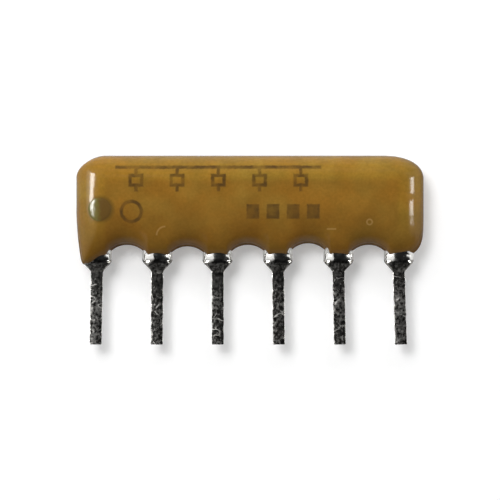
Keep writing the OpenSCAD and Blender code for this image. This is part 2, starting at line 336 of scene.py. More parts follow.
def flowed_edge(x):
    """The lower edge as the coat feels it further up, where it flowed smooth: the mean of the edge's height
    over a stretch on both sides, weighted by a cosine."""
    steps = np.linspace(-1, 1, FLOW_STEPS)
    weight = 1 + np.cos(math.pi * steps)
    return lower_edge(x[..., None] + FLOW_REACH * steps) @ weight / weight.sum()


def end_taper(height):
    """How far the end at pin 1 draws in below the flat face, as a power of the way down."""
    return TAPER_LEFT * np.clip((FLAT_LOW - height) / FLAT_LOW, 0, 1) ** TAPER_POWER


def corner_power(side, rise, row):
    """The superellipse power of the corner on that side and at that end of the height. Away from the outline
    the sharp corner at pin 1 softens, as the fourth power of the row's share, and the round one above it
    sharpens, as its square."""
    sharp = SOFT_POWER + (CORNER_POWERS[-1, -1] - SOFT_POWER) * row ** 4
    round_top = SOFT_TOP_POWER + (CORNER_POWERS[-1, 1] - SOFT_TOP_POWER) * row ** 2
    left = np.where(rise < 0, sharp, round_top)
    right = np.where(rise < 0, CORNER_POWERS[1, -1], CORNER_POWERS[1, 1])
    return np.where(side < 0, left, right)


def front_half(share, end_share, side, place, row, height):
    """Half thickness of the coat's front by its share of the way to the outline: an ellipse, fuller near the
    outline where the coat ran at pin 1. Smooth steps thin the ends: at the last pin above a ledge, and a
    little below it over the foot, and at pin 1 on both sides of the middle."""
    fullness = 2 + RUN_FULL * run_share(place) * ease((row - FULL_FROM) / (1 - FULL_FROM))
    foot = ease((FOOT_TOP - height) / LEDGE_LENGTH) * ease((height - FOOT_END) / (2 * LEDGE_LENGTH))
    ledge = LEDGE * (ease((height - LEDGE_LOW) / LEDGE_LENGTH) + FOOT_SHARE * foot)
    thinning = np.where(side > 0, ledge, SAG * ease(np.abs(height - SAG_MIDDLE) / SAG_LENGTH))
    return MID_Z * np.sqrt(1 - share ** fullness) * (1 - thinning * ease(END_STEEPNESS * end_share))


def front_z(x, y):
    """Height of the coat's marked face over a place: its share of the way to the outline, joined from both
    roundings as a superellipse, sets the half thickness."""
    height = y - SEAT_Y
    left = np.clip((FLAT_LEFT - x) / (RIM_LEFT - end_taper(height)), 0, 1)
    right = np.clip((x - FLAT_RIGHT) / RIM_RIGHT, 0, 1)
    place = np.where(left > 0, FLAT_LEFT - left * RIM_LEFT, x)
    low = np.clip((FLAT_LOW - height) / (FLAT_LOW - flowed_edge(place)), 0, 1)
    top = np.clip((height - FLAT_TOP) / RIM_TOP, 0, 1)
    side = np.where(left > 0, -1, 1)
    power = corner_power(side, np.where(low > 0, -1, 1), low)
    share = np.clip(((left + right) ** power + (low + top) ** power) ** (1 / power), 0, 1)
    return MID_Z + front_half(share, left + right, side, place, low, height)


def coating_surface():
    """The dipped coat as a grid over its face. Columns run from end to end and rows from the lower edge to
    the upper one, both closer together towards the outline as a sine. Front and back share the outline's
    points."""
    end, middle, low_rows, flat_rows, top_rows = 44, 300, 44, 30, 34
    turn = np.linspace(0, math.pi / 2, end + 1)
    low_turn = np.linspace(0, math.pi / 2, low_rows + 1)
    top_turn = np.linspace(0, math.pi / 2, top_rows + 1)
    centre = np.linspace(FLAT_LEFT, FLAT_RIGHT, middle + 1)
    side = np.concatenate([-np.ones(end), np.zeros(middle + 1), np.ones(end)])[:, None]
    end_share = np.concatenate([np.cos(turn[:-1]), np.zeros(middle + 1), np.sin(turn[1:])])[:, None]
    place = np.concatenate([FLAT_LEFT - np.cos(turn[:-1]) * RIM_LEFT, centre,
                            FLAT_RIGHT + np.sin(turn[1:]) * RIM_RIGHT])[:, None]
    rise = np.concatenate([-np.ones(low_rows + 1), np.zeros(flat_rows), np.ones(top_rows + 1)])[None, :]
    row = np.concatenate([np.cos(low_turn), np.zeros(flat_rows), np.sin(top_turn)])[None, :]
    level = np.concatenate([np.full(low_rows, FLAT_LOW), np.linspace(FLAT_LOW, FLAT_TOP, flat_rows + 2),
                            np.full(top_rows, FLAT_TOP)])[None, :]
    power = corner_power(np.where(side < 0, -1, 1), rise, row)
    row_share = row * np.clip(1 - end_share ** power, 0, 1) ** (1 / power)
    share = np.clip((end_share ** power + row_share ** power) ** (1 / power), 0, 1)
    edge = flowed_edge(place) + (lower_edge(place) - flowed_edge(place)) * row ** 2
    height = level + row_share * np.where(rise < 0, edge - FLAT_LOW, RIM_TOP)
    x = place + np.where(side < 0, end_share * end_taper(height), 0)
    back_share = np.clip((share - BACK_FLAT) / (1 - BACK_FLAT), 0, 1)
    front_up = front_half(share, end_share, side, place, np.where(rise < 0, row, 0), height)
    front = np.stack([x, SEAT_Y + height, MID_Z + front_up], axis=-1)
    back = np.stack([x, SEAT_Y + height, MID_Z - MID_Z * np.sqrt(1 - back_share ** 2)], axis=-1)
    cols, rows = share.shape
    front_index = np.arange(cols * rows).reshape(cols, rows)
    for col in (0, -1):
        front_index[col, :low_rows] = front_index[col, low_rows]
        front_index[col, -top_rows:] = front_index[col, -top_rows - 1]
    back_index = front_index.copy()
    back_index[1:-1, 1:-1] += cols * rows
    points = np.concatenate([front.reshape(-1, 3), back.reshape(-1, 3)])
    return used_points(points, np.concatenate([cells(front_index), cells(back_index[:, ::-1])]))


def used_points(points, corners):
    """The points that a cell uses, and the cells with these points' new numbers."""
    used, renumbered = np.unique(corners, return_inverse=True)
    return points[used], renumbered.reshape(corners.shape)


def closed_tube(rings, first_tip, last_tip):
    """A closed surface through rings of points, given as rings by points by three, with a point at each
    end."""
    count, sides = rings.shape[:2]
    body = np.arange(count * sides).reshape(count, sides)
    loop = np.concatenate([body, body[:, :1]], axis=1)
    first = np.full((1, sides + 1), count * sides)
    last = first + 1
    points = np.concatenate([rings.reshape(-1, 3), [first_tip, last_tip]])
    return points, cells(np.concatenate([first, loop, last]))


def lead_centre(i):
    """Where a lead crosses the seating plane: its place in the row, in the middle of the coat's thickness."""
    return np.array([FIRST_X + PITCH * (i - 1), SEAT_Y, MID_Z])


def collar_profile():
    """Rings of a solder collar as height, half width, half depth and squareness. Each leaves the neck in a
    smooth step of its own and takes another one to the clip, where the end is rounded. The lower end feathers
    out on the pin."""
    swell_rings, cover_rings, end_rings = 45, 20, 6
    neck_w = PIN_W / 2 + NECK_T
    neck_d = LEAD_T / 2 + NECK_T
    cover_w = CLIP_W / 2 + SOLDER_SIDE
    cover_d = PLATE_T / 2 + FILM_T + LEAD_T + SOLDER_COVER
    end = np.linspace(0, math.pi / 2, end_rings + 1)[:-1]
    height = np.concatenate([np.linspace(-NECK_DROP, BULB_H, swell_rings),
                             np.linspace(BULB_H, BEND_H, cover_rings + 1)[1:],
                             TIP_H + SOLDER_COVER * np.sin(end)])
    widen = ease((height + NECK_DROP) / (COLLAR_H + NECK_DROP))
    deepen = ease((height + NECK_DROP) / (BULB_H + NECK_DROP))
    soften = ease(height / COLLAR_H)
    to_cover = ease((height - BULB_H) / (BEND_H - BULB_H))
    half_w = neck_w + (COLLAR_W / 2 - neck_w) * widen + (cover_w - COLLAR_W / 2) * to_cover
    half_d = neck_d + (BULB_D / 2 - neck_d) * deepen + (cover_d - BULB_D / 2) * to_cover
    square = NECK_POWER + (BULB_POWER - NECK_POWER) * soften + (COVER_POWER - BULB_POWER) * to_cover
    feather = FEATHER * NECK_T * (1 - ease((height + NECK_DROP) / NECK_DROP))
    half_w -= feather
    half_d -= feather
    half_w[-end_rings:] -= SOLDER_SIDE * (1 - np.cos(end))
    half_d[-end_rings:] -= SOLDER_COVER * (1 - np.cos(end))
    return np.stack([height, half_w, half_d, square], axis=1)


def solder_surface(i):
    """A solder collar: superellipse rings of the profile around the lead, with slow lumps from two sines, two
    and three to a turn."""
    sides = 72
    height, half_w, half_d, square = collar_profile().T[:, :, None]
    angle = (np.arange(sides) * 2 * math.pi / sides)[None, :]
    turn = LUMP_TURN * i
    lump = (1 + DOUBLE_LUMP * np.sin(2 * angle + turn + LUMP_RATE * height)
            + TRIPLE_LUMP * np.sin(3 * angle - 2 * turn))
    x = half_w * lump * signed_power(np.cos(angle), 2 / square)
    z = half_d * lump * signed_power(np.sin(angle), 2 / square)
    centre = lead_centre(i)
    rings = np.stack([x, np.broadcast_to(height, x.shape), z], axis=-1) + centre
    return closed_tube(rings, centre + [0, height[0, 0], 0], centre + [0, TIP_H + SOLDER_COVER, 0])


def strip_section(half_w, half_t):
    """A rectangle with round corners, as points around it, for each half width along a strip."""
    corner_points = 5
    quarter = np.linspace(0, math.pi / 2, corner_points)
    angle = np.concatenate([quarter + k * math.pi / 2 for k in range(4)])
    sign_x = np.repeat([1, -1, -1, 1], corner_points)
    sign_z = np.repeat([1, 1, -1, -1], corner_points)
    across = sign_x * (half_w[:, None] - EDGE_ROUND) + EDGE_ROUND * np.cos(angle)
    through = sign_z * (half_t - EDGE_ROUND) + EDGE_ROUND * np.sin(angle)
    return across, np.broadcast_to(through, across.shape)


def strip_surface(path, across_axis, half_w):
    """The stamped strip carried along a path, with its own half width at each point, and closed ends."""
    ahead = np.gradient(path, axis=0)
    ahead /= np.linalg.norm(ahead, axis=1, keepdims=True)
    through_axis = np.cross(across_axis, ahead)
    across, through = strip_section(half_w, LEAD_T / 2)
    rings = (path[:, None, :] + across[..., None] * across_axis[:, None, :]
             + through[..., None] * through_axis[:, None, :])
    return closed_tube(rings, path[0], path[-1])


def pin_surface(i):
    """A pin and its shoulder as one strip: straight along its lean below the seating plane, with a width that
    wavers as a sine, and wider by a slope on both sides above it."""
    pin_rings, grid_start = 60, 0.1
    lean = math.radians(PIN_LEAN + PIN_FAN * ((i - 1) / (PIN_COUNT - 1) - 0.5))
    slope_h = (CLIP_W - PIN_W) / 2
    height = np.concatenate([-PIN_LEN + TIP_ROUND * TIP_ALONG,
                             np.linspace(-PIN_LEN + grid_start, 0, pin_rings), [slope_h, SHOULDER_H]])
    waver = PIN_WAVER * np.sin(WAVER_RATE * height + WAVER_TURN * i) * (height < -WAVER_END)
    half_w = PIN_W / 2 + np.clip(height, 0, slope_h) + waver
    half_w[:len(TIP_INWARD)] -= TIP_ROUND * TIP_INWARD
    down = np.minimum(height, 0)
    up = np.where(height < 0, down * math.cos(lean), height)
    path = lead_centre(i) + np.stack([-down * math.sin(lean), up, 0 * height], axis=1)
    tilt = np.where(height < 0, lean, 0)
    across_axis = np.stack([np.cos(tilt), np.sin(tilt), 0 * tilt], axis=1)
    return strip_surface(path, across_axis, half_w)


def finger_surface(i, place, facing):
    """One finger of a lead's clip: from the shoulder it slants out in a smooth step and lies on the plate."""
    slant_rings = 12
    finger_w = (CLIP_W - (FINGERS - 1) * FINGER_SLIT) / FINGERS
    seat = PLATE_T / 2 + (FILM_T if facing > 0 else 0) + LEAD_T / 2
    slant = np.linspace(0, 1, slant_rings)
    height = np.concatenate([[SHOULDER_H * FINGER_ROOT], SHOULDER_H + (BEND_H - SHOULDER_H) * slant,
                             [TIP_H - FINGER_ROUND, TIP_H]])
    out = np.concatenate([[0], seat * ease(slant), [seat, seat]]) * facing
    side = np.full_like(height, place * (finger_w + FINGER_SLIT))
    path = lead_centre(i) + np.stack([side, height, out], axis=1)
    across_axis = np.tile([1.0, 0.0, 0.0], (len(height), 1))
    return strip_surface(path, across_axis, np.full(len(height), finger_w / 2))


def lead_surface(i):
    """A lead: the pin with its shoulder, two fingers on the plate's face and one on its back, joined by
    counting each part's corners on from the points before it."""
    parts = [pin_surface(i)]
    for place, facing in ((-1, 1), (0, -1), (1, 1)):
        parts.append(finger_surface(i, place, facing))
    starts = np.cumsum([0] + [len(points) for points, _ in parts[:-1]])
    points = np.concatenate([points for points, _ in parts])
    return points, np.concatenate([corners + start for (_, corners), start in zip(parts, starts)])


def dot_surface():
    """The ink dot: rings on the coat's face, thick inside and thin, as a root, at a rim that a few sines make
    wavy, closed underneath."""
    sides = 96
    inner_rings = np.linspace(0.05, 0.8, 14)
    rim_rings = np.linspace(0.84, 1, 9)
    share = np.concatenate([inner_rings, rim_rings])[:, None]
    angle = np.linspace(0, 2 * math.pi, sides + 1)[:-1][None, :]
    waves = sum(size * np.sin(count * angle + turn) for count, size, turn in DOT_WAVES)
    radius = DOT_D / 2 * share * (1 + waves)
    x = DOT_X + radius * np.cos(angle)
    y = DOT_Y + radius * np.sin(angle)
    face = front_z(x, y)
    upper = np.stack([x, y, face + DOT_T * np.sqrt(1 - share ** DOT_POWER)], axis=-1)
    lower_rim = np.stack([x, y, face - DOT_SINK], axis=-1)[-1:]
    centre_z = front_z(np.array(DOT_X), np.array(DOT_Y))
    points, corners = closed_tube(np.concatenate([upper, lower_rim]), [DOT_X, DOT_Y, centre_z + DOT_T],
                                  [DOT_X, DOT_Y, centre_z - DOT_SINK])
    return points, corners[:, ::-1]


def new_material(name):
    """An empty node material, and the place on the part in millimetres for its patterns."""
    material = bpy.data.materials.new(name)
    material.use_nodes = True
    tree = material.node_tree
    tree.nodes.clear()
    place = add(tree, "TexCoord").outputs["Object"]
    millimetres = add(tree, "VectorMath", {0: place, 1: (1 / MM,) * 3}, operation="MULTIPLY")
    return material, tree, millimetres.outputs["Vector"]


def within(tree, shape, limit):
    """The part of one shape that lies inside another: the greater of their distances."""
    return add(tree, "Math", {0: shape, 1: limit}, operation="MAXIMUM").outputs[0]


def box_distance(tree, x, y, centre, half):
    """How far a place lies outside a box: the greater of its distances past the half width and the half
    height."""
    past = []
    for value, middle, reach in zip((x, y), centre, half):
        offset = add(tree, "Math", {0: value, 1: middle}, operation="SUBTRACT").outputs[0]
        size = add(tree, "Math", {0: offset}, operation="ABSOLUTE").outputs[0]
        past.append(add(tree, "Math", {0: size, 1: reach}, operation="SUBTRACT").outputs[0])
    return within(tree, *past)


def disc_distance(tree, place, centre, radius):
    """How far a place lies outside a round shape, seen from the marked face."""
    flat = add(tree, "VectorMath", {0: place, 1: (1, 1, 0)}, operation="MULTIPLY").outputs["Vector"]
    away = add(tree, "VectorMath", {0: flat, 1: (*centre, 0)}, operation="DISTANCE").outputs["Value"]
    return add(tree, "Math", {0: away, 1: radius}, operation="SUBTRACT").outputs[0]


def nearest_of(tree, shapes):
    """The least of several distances."""
    nearest = shapes[0]
    for shape in shapes[1:]:
        nearest = add(tree, "Math", {0: nearest, 1: shape}, operation="MINIMUM").outputs[0]
    return nearest


def line_of(tree, distance, width):
    """The distance to a line drawn along a shape's outline."""
    either = add(tree, "Math", {0: distance}, operation="ABSOLUTE").outputs[0]
    return add(tree, "Math", {0: either, 1: width / 2}, operation="SUBTRACT").outputs[0]


def repeated(tree, x, start, step):
    """The place along a row of equal cells, measured from each cell's start."""
    offset = add(tree, "Math", {0: x, 1: start}, operation="SUBTRACT").outputs[0]
    return add(tree, "Math", {0: offset, 1: step}, operation="MODULO").outputs[0]


def fade(tree, value, full, gone):
    """A mask by a value: one at the level where it is full, nothing at the level where it is gone, and a
    smooth step between them."""
    return add(tree, "MapRange", {"Value": value, "From Min": full, "From Max": gone, "To Min": 1.0,
                                  "To Max": 0.0}, interpolation_type="SMOOTHSTEP").outputs["Result"]


def two_tone(tree, value, low, high, first, second):
    """A colour that goes evenly from one to another as a value goes from a low level to a high one."""
    share = add(tree, "MapRange", {"Value": value, "From Min": low, "From Max": high}).outputs["Result"]
    return add(tree, "Mix", {"Factor": share, "A": linear(first), "B": linear(second)},
               data_type="RGBA").outputs["Result"]


def printed_mark(tree, place, x, y):
    """A plain drawing of the circuit: a common line with five resistors below it, a ring, and a row of four
    blocks. Each shape is the distance to its outline in millimetres, and the nearest one counts."""
    symbol_w = 2 * CIRCUIT_HALF[0] / SYMBOLS
    symbol_x = repeated(tree, x, CIRCUIT_AT[0] - CIRCUIT_HALF[0], symbol_w)
    circuit = nearest_of(tree, [
        box_distance(tree, x, y, (CIRCUIT_AT[0], BUS_Y), (CIRCUIT_HALF[0], STROKE / 2)),
        box_distance(tree, symbol_x, y, (symbol_w / 2, STEM_Y), (STROKE / 2, STEM_HALF)),
        box_distance(tree, symbol_x, y, (symbol_w / 2, TAIL_Y), (STROKE / 2, TAIL_HALF)),
        line_of(tree, box_distance(tree, symbol_x, y, (symbol_w / 2, SYMBOL_Y), SYMBOL_HALF), STROKE)])
    circuit = within(tree, circuit, box_distance(tree, x, y, CIRCUIT_AT, CIRCUIT_HALF))
    ring = line_of(tree, disc_distance(tree, place, RING_AT, RING_R), STROKE)
    block_w = 2 * BLOCKS_HALF[0] / BLOCKS
    block_x = repeated(tree, x, BLOCKS_AT[0] - BLOCKS_HALF[0], block_w)
    block = box_distance(tree, block_x, y, (block_w / 2, BLOCKS_AT[1]), BLOCK_HALF)
    blocks = within(tree, block, box_distance(tree, x, y, BLOCKS_AT, BLOCKS_HALF))
    wobble_mm = 0.12
    noise = add(tree, "TexNoise", {"Vector": place, "Scale": 1 / wobble_mm, "Detail": 2.0}).outputs["Fac"]
    wobble = add(tree, "MapRange", {"Value": noise, "To Min": -INK_WOBBLE,
                                    "To Max": INK_WOBBLE}).outputs["Result"]
    nearest = nearest_of(tree, [circuit, ring, blocks])
    ragged = add(tree, "Math", {0: nearest, 1: wobble}, operation="ADD").outputs[0]
    return fade(tree, ragged, *INK_BLUR)


def scuffs(tree, place, x, y):
    """Small handling marks: a pinprick ring, a short dash and a curved scrape, each a thin line."""
    circle = line_of(tree, disc_distance(tree, place, SCRAPE_AT, SCRAPE_R), SCUFF_LINE)
    nearest = nearest_of(tree, [
        line_of(tree, disc_distance(tree, place, PRICK_AT, PRICK_R), SCUFF_LINE),
        box_distance(tree, x, y, DASH_AT, (DASH_HALF, SCUFF_LINE / 2)),
        within(tree, circle, box_distance(tree, x, y, *SCRAPE_PART))])
    return fade(tree, nearest, 0.0, SCUFF_BLUR)


def painted_shade_share(tree, place, x, y):
    """How much painted shade darkens the coat: more between the pins than at them, as a cosine, fading
    upwards, and more again along the lower edge and around the corner at pin 1."""
    along = add(tree, "Math", {0: x, 1: FIRST_X}, operation="SUBTRACT").outputs[0]
    turn = add(tree, "Math", {0: along, 1: 2 * math.pi / PITCH}, operation="MULTIPLY").outputs[0]
    over_pin = add(tree, "Math", {0: turn}, operation="COSINE").outputs[0]
    share = add(tree, "Math", {0: over_pin, 1: (SHADE_AT_PINS - SHADE_BETWEEN) / 2,
                               2: (SHADE_AT_PINS + SHADE_BETWEEN) / 2}, operation="MULTIPLY_ADD").outputs[0]
    share = add(tree, "Math", {0: fade(tree, y, *SHADE_RISE), 1: share}, operation="MULTIPLY").outputs[0]
    from_corner = disc_distance(tree, place, CORNER_AT, 0.0)
    for mask, more in ((fade(tree, y, *LOW_RISE), LOW_SHADE),
                       (fade(tree, from_corner, *CORNER_REACH), CORNER_SHADE)):
        share = add(tree, "Math", {0: mask, 1: more, 2: share}, operation="MULTIPLY_ADD").outputs[0]
    return share


def painted_light_rim(tree, x, y):
    """Where the rim is painted lighter, as painted light: outside the plate, where the coat is thick, except
    around the last lobe, with smooth steps at both.
    """
    off_plate = fade(tree, box_distance(tree, x, y, *PLATE_SHOWN), *PLATE_BLUR)
    off_lobe = fade(tree, box_distance(tree, x, y, *LAST_LOBE), *LAST_LOBE_BLUR)
    return add(tree, "Math", {0: off_plate, 1: off_lobe}, operation="MULTIPLY").outputs[0]


def coat_pigment(tree, place, x, y, edge):
    """The coat's colour: ochre that mottles between two tones, finely specked and cloudy, with painted light
    that makes the rim around the plate lighter and yellower and painted shade that makes it half as light at
    the edge."""
    mottle_mm, cloud_mm, speck_mm = 1.4, 0.8, 0.11
    mottle = add(tree, "TexNoise", {"Vector": place, "Scale": 1 / mottle_mm, "Detail": 3.0}).outputs["Fac"]
    tone = two_tone(tree, mottle, 0.35, 0.65, "#886022", "#846427")
    rim_light = add(tree, "Mix", {"Factor": painted_light_rim(tree, x, y), "A": (1, 1, 1, 1), "B": PAINTED_RIM_LIGHT},
               data_type="RGBA").outputs["Result"]
    body = add(tree, "VectorMath", {0: tone, 1: rim_light}, operation="MULTIPLY").outputs["Vector"]
    shades = []
    for size_mm, change in ((speck_mm, 0.08), (cloud_mm, 0.1)):
        noise = add(tree, "TexNoise", {"Vector": place, "Scale": 1 / size_mm, "Detail": 2.0}).outputs["Fac"]
        shades.append(add(tree, "MapRange", {"Value": noise, "From Min": 0.3, "From Max": 0.7,
                                             "To Min": 1 - change, "To Max": 1 + change}).outputs["Result"])
    # Painted shade: half as light where the coat turns steep at its outline
    shades.append(add(tree, "MapRange", {"Value": edge, "To Min": 1.0, "To Max": 0.5}).outputs["Result"])
    for shade in shades:
        body = add(tree, "VectorMath", {0: body, "Scale": shade}, operation="SCALE").outputs["Vector"]
    return body


def epoxy_coat():
    """Dipped epoxy, pigmented ochre: a smooth skin that flowed before it set, so it is glossy, a little wavy,
    mottled and cloudy. Painted shade darkens it over the scallops, at pin 1 and along its edge, which is also
    duller, and painted light makes the rim around the plate lighter and yellower. The stamped ink on it is
    thin and has worn unevenly, and there are a few pale scuffs."""
    material, tree, place = new_material("epoxy_coat")
    wear_mm, wave_mm = 0.45, 0.9
    axes = add(tree, "SeparateXYZ", {"Vector": place}).outputs
    x, y, z = axes["X"], axes["Y"], axes["Z"]
    from_middle = add(tree, "Math", {0: z, 1: MID_Z}, operation="SUBTRACT").outputs[0]
    depth = add(tree, "Math", {0: from_middle}, operation="ABSOLUTE").outputs[0]
    edge = fade(tree, depth, *EDGE_DEPTH)
    body = coat_pigment(tree, place, x, y, edge)

    wear = add(tree, "TexNoise", {"Vector": place, "Scale": 1 / wear_mm, "Detail": 4.0}).outputs["Fac"]
    ink_left = add(tree, "MapRange", {"Value": wear, "From Min": 0.35, "From Max": 0.65,
                                      "To Min": 0.45, "To Max": 0.95}).outputs["Result"]
    front = add(tree, "Math", {0: z, 1: MID_Z}, operation="GREATER_THAN").outputs[0]
    ink_left = add(tree, "Math", {0: ink_left, 1: front}, operation="MULTIPLY").outputs[0]
    from_dot = disc_distance(tree, place, (DOT_X + HALO_SHIFT, DOT_Y), DOT_D / 2)
    # The first layer is painted shade: over the scallops, along the lower edge and around pin 1
    layers = [(painted_shade_share(tree, place, x, y), 1.0, "#5a3a16"),
              (printed_mark(tree, place, x, y), ink_left, "#4e3a1e"),
              (fade(tree, from_dot, *HALO_BLUR), front, "#624b20"),
              (scuffs(tree, place, x, y), 0.26, "#c9a66a")]
    for mask, strength, colour in layers:
        amount = add(tree, "Math", {0: mask, 1: strength}, operation="MULTIPLY").outputs[0]
        body = add(tree, "Mix", {"Factor": amount, "A": body, "B": linear(colour)},
                   data_type="RGBA").outputs["Result"]

    wave = add(tree, "TexNoise", {"Vector": place, "Scale": 1 / wave_mm, "Detail": 2.0}).outputs["Fac"]
    bump = add(tree, "Bump", {"Height": wave, "Strength": 0.15, "Distance": 0.02 * MM}).outputs["Normal"]
    low_edge = add(tree, "Math", {0: edge, 1: fade(tree, y, *MATT_RISE)}, operation="MULTIPLY").outputs[0]
    rough = add(tree, "MapRange", {"Value": low_edge, "To Min": 0.13, "To Max": 0.8}).outputs["Result"]
    gloss = add(tree, "MapRange", {"Value": edge, "To Min": 0.5, "To Max": 0.05}).outputs["Result"]
    shader = add(tree, "BsdfPrincipled", {"Base Color": body, "Roughness": rough, "IOR": 1.22,
                                          "Specular IOR Level": gloss, "Normal": bump})
    add(tree, "OutputMaterial", {"Surface": shader.outputs["BSDF"]})
    return material


def marking_ink():
    """Olive marking ink dabbed on as a drop: glossy, thick in the middle and browner where it thins out."""
    material, tree, place = new_material("marking_ink")
    mottle_mm, grain_mm = 0.3, 0.12
    mottle = add(tree, "TexNoise", {"Vector": place, "Scale": 1 / mottle_mm, "Detail": 3.0}).outputs["Fac"]
    across = add(tree, "SeparateXYZ", {"Vector": place}).outputs["X"]
    thinning = add(tree, "MapRange", {"Value": across, "From Min": DOT_X - DOT_D / 4,
                                      "From Max": DOT_X + DOT_D / 2}).outputs["Result"]
    spread = add(tree, "Math", {0: mottle, 1: thinning}, operation="ADD").outputs[0]
    tone = two_tone(tree, spread, 0.68, 0.98, "#665d26", "#604822")
    grain = add(tree, "TexNoise", {"Vector": place, "Scale": 1 / grain_mm, "Detail": 3.0}).outputs["Fac"]
    bump = add(tree, "Bump", {"Height": grain, "Strength": 0.5, "Distance": 0.015 * MM}).outputs["Normal"]
    shader = add(tree, "BsdfPrincipled", {"Base Color": tone, "Roughness": 0.16, "IOR": 1.3, "Normal": bump})
    add(tree, "OutputMaterial", {"Surface": shader.outputs["BSDF"]})
    return material


def fine_flecks(tree, place):
    """Flecks a tenth of a millimetre across, a little longer along the pins, in which tin plate dulls."""
    fleck_mm = 0.11
    drawn = add(tree, "VectorMath", {0: place, 1: (1, 0.7, 1)}, operation="MULTIPLY").outputs["Vector"]
    return add(tree, "TexNoise", {"Vector": drawn, "Scale": 1 / fleck_mm, "Detail": 5.0,
                                  "Roughness": 0.7}).outputs["Fac"]


def scratches(tree, place):
    """Thin curved scratches: the edges between the cells of a bent pattern, broken off where a slow noise is
    low."""
    cell_mm, bend_mm, break_mm = 1.1, 0.6, 0.4
    bend = add(tree, "TexNoise", {"Vector": place, "Scale": 1 / bend_mm, "Detail": 1.0}).outputs["Color"]
    bent = add(tree, "VectorMath", {0: bend, 1: (cell_mm,) * 3, 2: place}, operation="MULTIPLY_ADD")
    from_edge = add(tree, "TexVoronoi", {"Vector": bent.outputs["Vector"], "Scale": 1 / cell_mm},
                    feature="DISTANCE_TO_EDGE").outputs["Distance"]
    line = add(tree, "MapRange", {"Value": from_edge, "From Min": 0.0, "From Max": 0.03, "To Min": 1.0,
                                  "To Max": 0.0}).outputs["Result"]
    broken = add(tree, "TexNoise", {"Vector": place, "Scale": 1 / break_mm, "Detail": 1.0}).outputs["Fac"]
    return add(tree, "Math", {0: line, 1: fade(tree, broken, 0.56, 0.46)}, operation="MULTIPLY").outputs[0]


def tinned_strip():
    """Tin plate on a stamped strip, its base colour painted charcoal as painted shade for the dark ceiling
    that it mirrors, with fine rougher flecks that look lighter, slow changes that leave the end pins palest,
    and a few thin curved scratches. It is smoothest by the solder."""
    material, tree, place = new_material("tinned_strip")
    slow_mm, grain_mm = 1.3, 0.06
    axes = add(tree, "SeparateXYZ", {"Vector": place}).outputs
    fleck = fine_flecks(tree, place)
    scratch = scratches(tree, place)
    slow = add(tree, "TexNoise", {"Vector": place, "Scale": 1 / slow_mm, "Detail": 1.0}).outputs["Fac"]
    rubbed = add(tree, "Math", {0: slow, 1: 0.35, 2: fleck}, operation="MULTIPLY_ADD").outputs[0]
    outward = add(tree, "Math", {0: axes["X"], 1: WEAR_LEAST_X}, operation="SUBTRACT").outputs[0]
    squared = add(tree, "Math", {0: outward, 1: outward}, operation="MULTIPLY").outputs[0]
    rubbed = add(tree, "Math", {0: squared, 1: WEAR_MORE / WEAR_AWAY ** 2, 2: rubbed},
                 operation="MULTIPLY_ADD").outputs[0]
    bright = add(tree, "MapRange", {"Value": rubbed, "From Min": 0.5, "From Max": 0.95}).outputs["Result"]
    bright = add(tree, "Math", {0: bright, 1: scratch}, operation="MAXIMUM").outputs[0]
    bare = add(tree, "MapRange", {"Value": axes["Y"], "From Min": SEAT_Y - WEAR_DROP, "From Max": SEAT_Y,
                                  "To Min": 1.0, "To Max": 0.4}).outputs["Result"]
    bright = add(tree, "Math", {0: bright, 1: bare}, operation="MULTIPLY").outputs[0]
    rough = add(tree, "MapRange", {"Value": bright, "To Min": 0.16, "To Max": 0.38}).outputs["Result"]
    rough = add(tree, "Math", {0: scratch, 1: 0.12, 2: rough}, operation="MULTIPLY_ADD").outputs[0]
    pale = add(tree, "Math", {0: fleck, 1: scratch}, operation="MAXIMUM").outputs[0]
    # Painted shade: charcoal stands in for the dark ceiling that the tin mirrors; the flecks and scratches
    # keep tin's pale colour
    tone = two_tone(tree, pale, 0.4, 0.66, "#4b4946", "#e2e0db")
    grain = add(tree, "TexNoise", {"Vector": place, "Scale": 1 / grain_mm, "Detail": 2.0}).outputs["Fac"]
    bump = add(tree, "Bump", {"Height": grain, "Strength": 0.2, "Distance": 0.01 * MM}).outputs["Normal"]
    shader = add(tree, "BsdfPrincipled", {"Base Color": tone, "Metallic": 1.0, "Roughness": rough,
                                          "Normal": bump})
    add(tree, "OutputMaterial", {"Surface": shader.outputs["BSDF"]})
    return material


